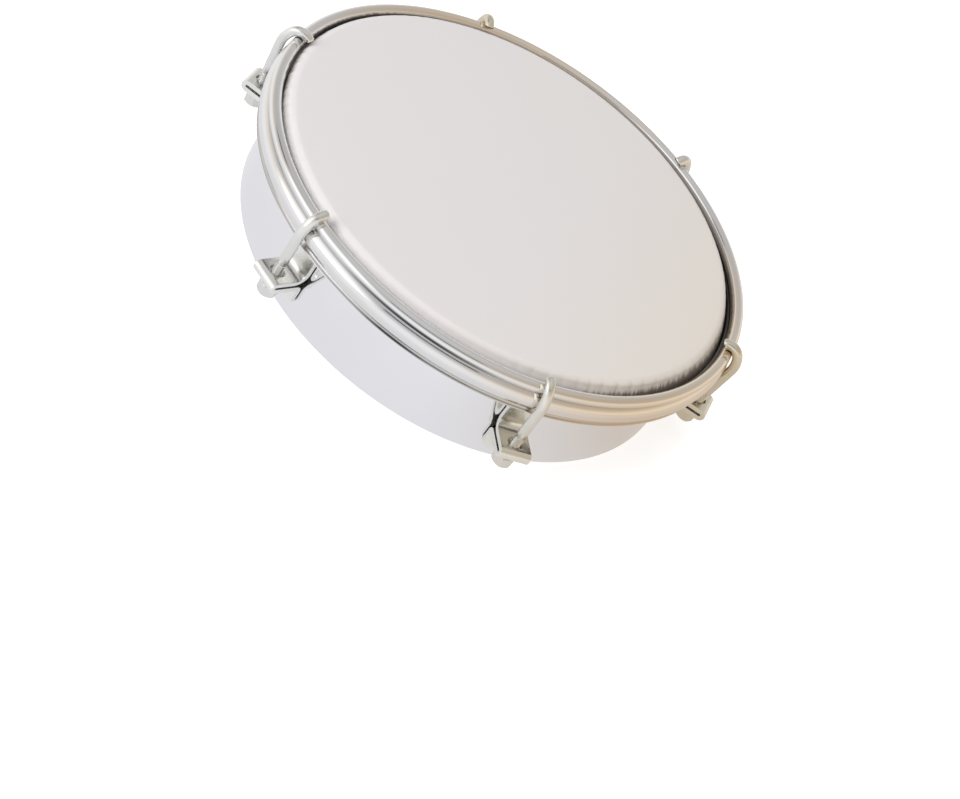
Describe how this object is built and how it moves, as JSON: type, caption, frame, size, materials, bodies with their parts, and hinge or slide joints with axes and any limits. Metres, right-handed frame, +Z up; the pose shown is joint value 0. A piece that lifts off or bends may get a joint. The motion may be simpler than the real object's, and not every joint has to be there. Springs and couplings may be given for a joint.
{
  "type": "tamborim drum",
  "caption": "Small shallow frame drum with a flat white head, a rolled metal hoop, and bent hooks drawn down by nuts under folded lugs to tension the head.",
  "frame": {"origin": "centre of the shell's lower rim, on the plane the drum stands on", "axes": "+Z up along the drum's axis to the head, +X out through the first tension hook, +Y by the right-hand rule"},
  "size_m": [0.1778, 0.1674, 0.0423],
  "materials": {
    "shell_metal": "polished sheet",
    "film": "milky, faint gloss",
    "ring_metal": "plain drawn",
    "hoop_plating": "bright plating",
    "lug_plating": "bright plating",
    "hook_metal": "zinc plated rod",
    "nut_metal": "zinc plated",
    "rivet_metal": "plated"
  },
  "bodies": {
    "frame": {"shell": "shell_metal", "lug_1": "lug_plating", "rivet_upper_1": "rivet_metal", "rivet_lower_1": "rivet_metal", "lug_2": "lug_plating", "rivet_upper_2": "rivet_metal", "rivet_lower_2": "rivet_metal", "lug_3": "lug_plating", "rivet_upper_3": "rivet_metal", "rivet_lower_3": "rivet_metal", "lug_4": "lug_plating", "rivet_upper_4": "rivet_metal", "rivet_lower_4": "rivet_metal", "lug_5": "lug_plating", "rivet_upper_5": "rivet_metal", "rivet_lower_5": "rivet_metal", "lug_6": "lug_plating", "rivet_upper_6": "rivet_metal", "rivet_lower_6": "rivet_metal"},
    "head": {"counterhoop": "hoop_plating", "flesh_hoop": "ring_metal", "drumhead": "film"},
    "hook_body_1": {"hook_1": "hook_metal"},
    "nut_body_1": {"tuning_nut_1": "nut_metal"},
    "hook_body_2": {"hook_2": "hook_metal"},
    "nut_body_2": {"tuning_nut_2": "nut_metal"},
    "hook_body_3": {"hook_3": "hook_metal"},
    "nut_body_3": {"tuning_nut_3": "nut_metal"},
    "hook_body_4": {"hook_4": "hook_metal"},
    "nut_body_4": {"tuning_nut_4": "nut_metal"},
    "hook_body_5": {"hook_5": "hook_metal"},
    "nut_body_5": {"tuning_nut_5": "nut_metal"},
    "hook_body_6": {"hook_6": "hook_metal"},
    "nut_body_6": {"tuning_nut_6": "nut_metal"}
  },
  "joints": [
    {"name": "head_lift", "type": "slide", "parent": "frame", "child": "head", "axis": [0, 0, 1], "range_m": [0, 0.003]},
    {"name": "hook_slide_1", "type": "slide", "parent": "frame", "child": "hook_body_1", "axis": [0.0872, 0, 0.9962], "range_m": [0, 0.0031]},
    {"name": "nut_turn_1", "type": "hinge", "parent": "frame", "child": "nut_body_1", "pos_m": [0.0843, 0, 0.0165], "axis": [0.0872, 0, 0.9962], "range_deg": [0, 1720]},
    {"name": "hook_slide_2", "type": "slide", "parent": "frame", "child": "hook_body_2", "axis": [0.0436, 0.0755, 0.9962], "range_m": [0, 0.0031]},
    {"name": "nut_turn_2", "type": "hinge", "parent": "frame", "child": "nut_body_2", "pos_m": [0.04215, 0.07301, 0.0165], "axis": [0.0436, 0.0755, 0.9962], "range_deg": [0, 1720]},
    {"name": "hook_slide_3", "type": "slide", "parent": "frame", "child": "hook_body_3", "axis": [-0.0436, 0.0755, 0.9962], "range_m": [0, 0.0031]},
    {"name": "nut_turn_3", "type": "hinge", "parent": "frame", "child": "nut_body_3", "pos_m": [-0.04215, 0.07301, 0.0165], "axis": [-0.0436, 0.0755, 0.9962], "range_deg": [0, 1720]},
    {"name": "hook_slide_4", "type": "slide", "parent": "frame", "child": "hook_body_4", "axis": [-0.0872, 0, 0.9962], "range_m": [0, 0.0031]},
    {"name": "nut_turn_4", "type": "hinge", "parent": "frame", "child": "nut_body_4", "pos_m": [-0.0843, 0, 0.0165], "axis": [-0.0872, 0, 0.9962], "range_deg": [0, 1720]},
    {"name": "hook_slide_5", "type": "slide", "parent": "frame", "child": "hook_body_5", "axis": [-0.0436, -0.0755, 0.9962], "range_m": [0, 0.0031]},
    {"name": "nut_turn_5", "type": "hinge", "parent": "frame", "child": "nut_body_5", "pos_m": [-0.04215, -0.07301, 0.0165], "axis": [-0.0436, -0.0755, 0.9962], "range_deg": [0, 1720]},
    {"name": "hook_slide_6", "type": "slide", "parent": "frame", "child": "hook_body_6", "axis": [0.0436, -0.0755, 0.9962], "range_m": [0, 0.0031]},
    {"name": "nut_turn_6", "type": "hinge", "parent": "frame", "child": "nut_body_6", "pos_m": [0.04215, -0.07301, 0.0165], "axis": [0.0436, -0.0755, 0.9962], "range_deg": [0, 1720]}
  ],
  "couplings": [
    {"joint": "hook_slide_1", "follows": "head_lift", "ratio": 1.0038},
    {"joint": "nut_turn_1", "follows": "head_lift", "rad_per_m": 9932.6},
    {"joint": "hook_slide_2", "follows": "head_lift", "ratio": 1.0038},
    {"joint": "nut_turn_2", "follows": "head_lift", "rad_per_m": 9932.6},
    {"joint": "hook_slide_3", "follows": "head_lift", "ratio": 1.0038},
    {"joint": "nut_turn_3", "follows": "head_lift", "rad_per_m": 9932.6},
    {"joint": "hook_slide_4", "follows": "head_lift", "ratio": 1.0038},
    {"joint": "nut_turn_4", "follows": "head_lift", "rad_per_m": 9932.6},
    {"joint": "hook_slide_5", "follows": "head_lift", "ratio": 1.0038},
    {"joint": "nut_turn_5", "follows": "head_lift", "rad_per_m": 9932.6},
    {"joint": "hook_slide_6", "follows": "head_lift", "ratio": 1.0038},
    {"joint": "nut_turn_6", "follows": "head_lift", "rad_per_m": 9932.6}
  ]
}
